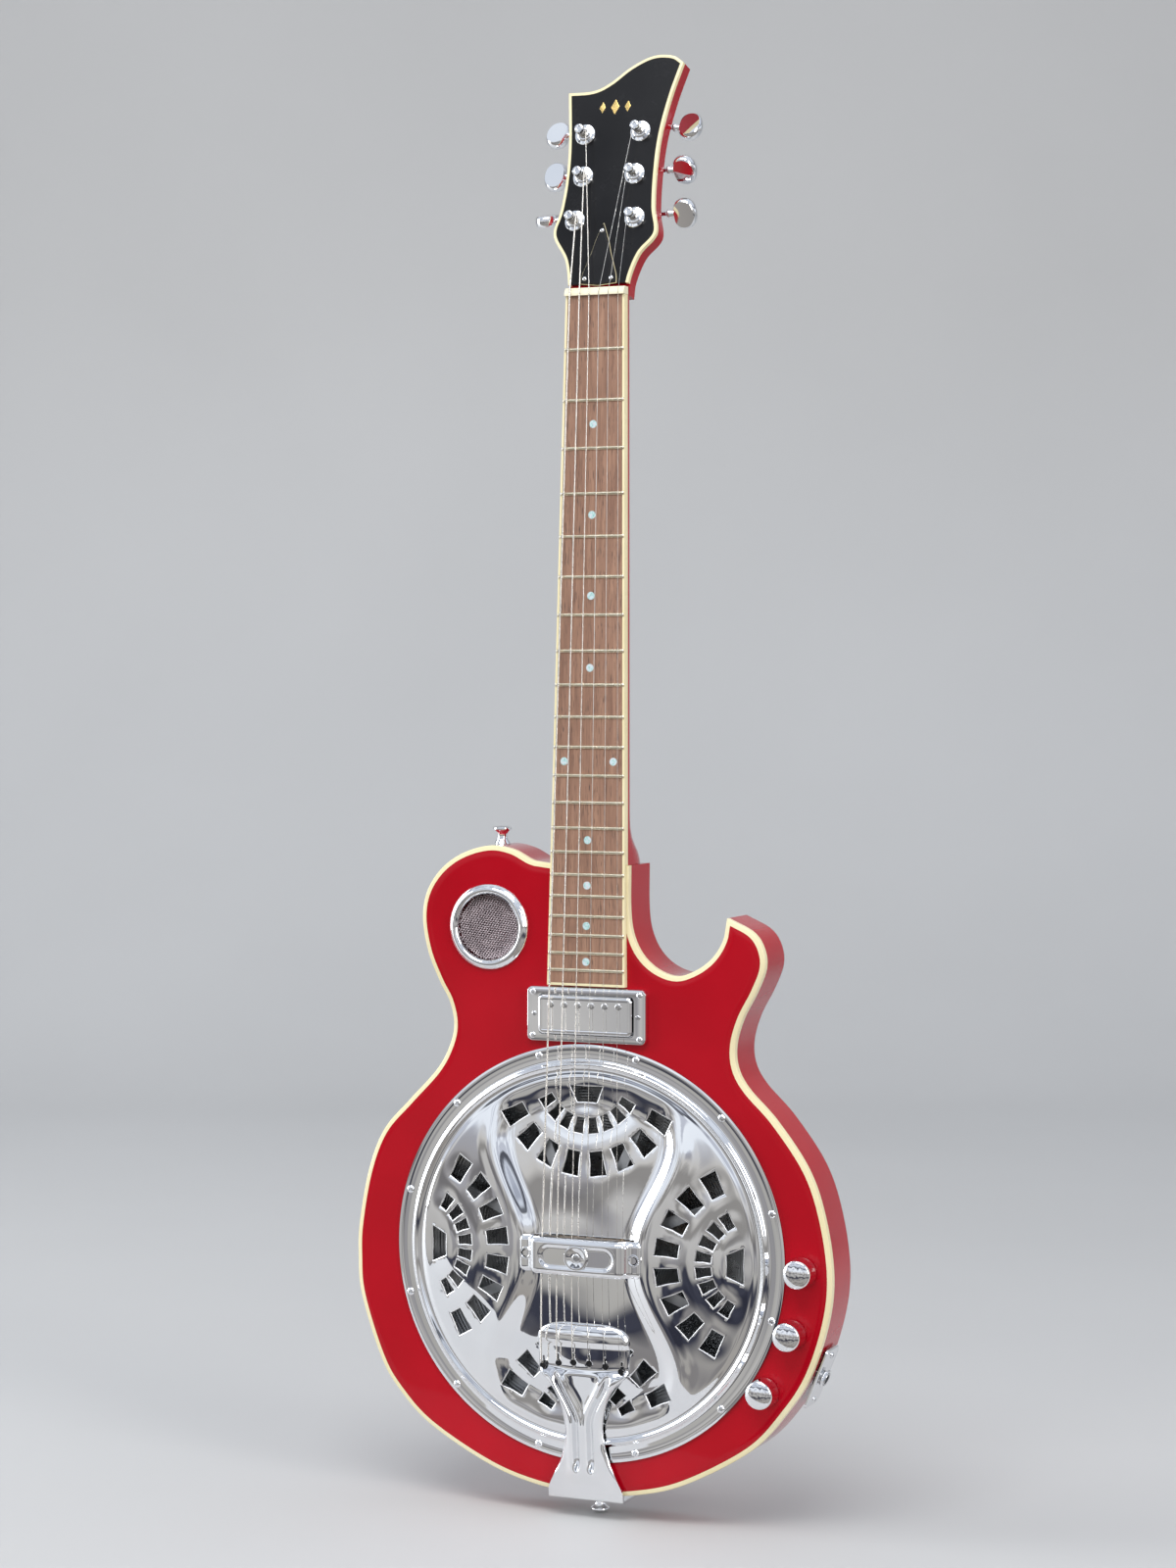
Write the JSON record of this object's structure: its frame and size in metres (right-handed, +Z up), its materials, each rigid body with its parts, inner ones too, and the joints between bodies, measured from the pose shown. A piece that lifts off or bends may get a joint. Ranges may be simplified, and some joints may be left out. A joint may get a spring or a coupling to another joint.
{
  "type": "resonator guitar",
  "caption": "Cutaway electric resonator guitar with bound red body, pressed chrome coverplate, pickup, tailpiece and geared tuners.",
  "frame": {"origin": "on the back plate's flat outer face, on the axis of the cone", "axes": "+Z up the neck, +Y into the guitar from front to back, +X to the right of someone facing it"},
  "size_m": [0.3391, 0.0849, 0.9655],
  "materials": {
    "red_lacquer": "gloss",
    "cream_binding": "satin",
    "black_lacquer": "gloss",
    "rosewood": "satin",
    "pale_wood": "matt",
    "chrome": "polished",
    "spun_aluminium": "satin",
    "cast_aluminium": "cast",
    "steel": "brushed",
    "plain_wire": "polished",
    "wound_wire": "wound",
    "bone": "satin",
    "black_plastic": "gloss"
  },
  "bodies": {
    "root": {"body_rim": "red_lacquer", "body_back": "red_lacquer", "body_top": "red_lacquer", "neck": "red_lacquer", "top_binding": "cream_binding", "fretboard_binding": "cream_binding", "headstock_binding": "cream_binding", "headstock_face": "black_lacquer", "fretboard": "rosewood", "neck_block": "pale_wood", "tail_block": "pale_wood", "sound_well": "pale_wood", "saddle": "pale_wood", "coverplate": "chrome", "hand_rest": "chrome", "tailpiece": "chrome", "pickup": "chrome", "pickup_ring": "chrome", "port_ring": "chrome", "jack_plate": "chrome", "tail_strap_button": "chrome", "shoulder_strap_button": "chrome", "tuner_housing_left_1": "chrome", "tuner_housing_left_2": "chrome", "tuner_housing_left_3": "chrome", "tuner_housing_right_1": "chrome", "tuner_housing_right_2": "chrome", "tuner_housing_right_3": "chrome", "resonator_cone": "spun_aluminium", "spider": "cast_aluminium", "spider_screw": "steel", "truss_rod": "steel", "port_mesh": "steel", "jack_socket": "steel", "pot_1": "steel", "pot_2": "steel", "pot_3": "steel", "string_1": "plain_wire", "string_2": "plain_wire", "string_3": "plain_wire", "string_4": "wound_wire", "string_5": "wound_wire", "string_6": "wound_wire", "nut": "bone", "truss_rod_cover": "black_plastic"},
    "knob_1_body": {"knob_1": "chrome"},
    "knob_2_body": {"knob_2": "chrome"},
    "knob_3_body": {"knob_3": "chrome"},
    "button_left_1": {"tuner_button_left_1": "chrome"},
    "post_left_1": {"tuner_post_left_1": "chrome"},
    "button_left_2": {"tuner_button_left_2": "chrome"},
    "post_left_2": {"tuner_post_left_2": "chrome"},
    "button_left_3": {"tuner_button_left_3": "chrome"},
    "post_left_3": {"tuner_post_left_3": "chrome"},
    "button_right_1": {"tuner_button_right_1": "chrome"},
    "post_right_1": {"tuner_post_right_1": "chrome"},
    "button_right_2": {"tuner_button_right_2": "chrome"},
    "post_right_2": {"tuner_post_right_2": "chrome"},
    "button_right_3": {"tuner_button_right_3": "chrome"},
    "post_right_3": {"tuner_post_right_3": "chrome"}
  },
  "joints": [
    {"name": "knob_1_turn", "type": "hinge", "parent": "root", "child": "knob_1_body", "pos_m": [0.1498, -0.051, -0.0013], "axis": [0, -1, 0], "range_deg": [-150, 150]},
    {"name": "knob_2_turn", "type": "hinge", "parent": "root", "child": "knob_2_body", "pos_m": [0.1428, -0.051, -0.042], "axis": [0, -1, 0], "range_deg": [-150, 150]},
    {"name": "knob_3_turn", "type": "hinge", "parent": "root", "child": "knob_3_body", "pos_m": [0.1244, -0.051, -0.0808], "axis": [0, -1, 0], "range_deg": [-150, 150]},
    {"name": "button_turn_left_1", "type": "hinge", "parent": "root", "child": "button_left_1", "pos_m": [-0.0413, 0.00167, 0.68384], "axis": [-1, 0, 0], "continuous": true},
    {"name": "post_turn_left_1", "type": "hinge", "parent": "root", "child": "post_left_1", "pos_m": [-0.0213, -0.01767, 0.6801], "axis": [0, -0.9744, 0.225], "continuous": true},
    {"name": "button_turn_left_2", "type": "hinge", "parent": "root", "child": "button_left_2", "pos_m": [-0.0384, 0.00853, 0.71356], "axis": [-1, 0, 0], "continuous": true},
    {"name": "post_turn_left_2", "type": "hinge", "parent": "root", "child": "post_left_2", "pos_m": [-0.0184, -0.01081, 0.70981], "axis": [0, -0.9744, 0.225], "continuous": true},
    {"name": "button_turn_left_3", "type": "hinge", "parent": "root", "child": "button_left_3", "pos_m": [-0.0398, 0.01517, 0.7423], "axis": [-1, 0, 0], "continuous": true},
    {"name": "post_turn_left_3", "type": "hinge", "parent": "root", "child": "post_left_3", "pos_m": [-0.0198, -0.00417, 0.73856], "axis": [0, -0.9744, 0.225], "continuous": true},
    {"name": "button_turn_right_1", "type": "hinge", "parent": "root", "child": "button_right_1", "pos_m": [0.0413, 0.00167, 0.68384], "axis": [1, 0, 0], "continuous": true},
    {"name": "post_turn_right_1", "type": "hinge", "parent": "root", "child": "post_right_1", "pos_m": [0.0213, -0.01767, 0.6801], "axis": [0, -0.9744, 0.225], "continuous": true},
    {"name": "button_turn_right_2", "type": "hinge", "parent": "root", "child": "button_right_2", "pos_m": [0.0384, 0.00853, 0.71356], "axis": [1, 0, 0], "continuous": true},
    {"name": "post_turn_right_2", "type": "hinge", "parent": "root", "child": "post_right_2", "pos_m": [0.0184, -0.01081, 0.70981], "axis": [0, -0.9744, 0.225], "continuous": true},
    {"name": "button_turn_right_3", "type": "hinge", "parent": "root", "child": "button_right_3", "pos_m": [0.0398, 0.01517, 0.7423], "axis": [1, 0, 0], "continuous": true},
    {"name": "post_turn_right_3", "type": "hinge", "parent": "root", "child": "post_right_3", "pos_m": [0.0198, -0.00417, 0.73856], "axis": [0, -0.9744, 0.225], "continuous": true}
  ],
  "couplings": [
    {"joint": "post_turn_left_1", "follows": "button_turn_left_1", "ratio": 0.071429},
    {"joint": "post_turn_left_2", "follows": "button_turn_left_2", "ratio": 0.071429},
    {"joint": "post_turn_left_3", "follows": "button_turn_left_3", "ratio": 0.071429},
    {"joint": "post_turn_right_1", "follows": "button_turn_right_1", "ratio": 0.071429},
    {"joint": "post_turn_right_2", "follows": "button_turn_right_2", "ratio": 0.071429},
    {"joint": "post_turn_right_3", "follows": "button_turn_right_3", "ratio": 0.071429}
  ]
}
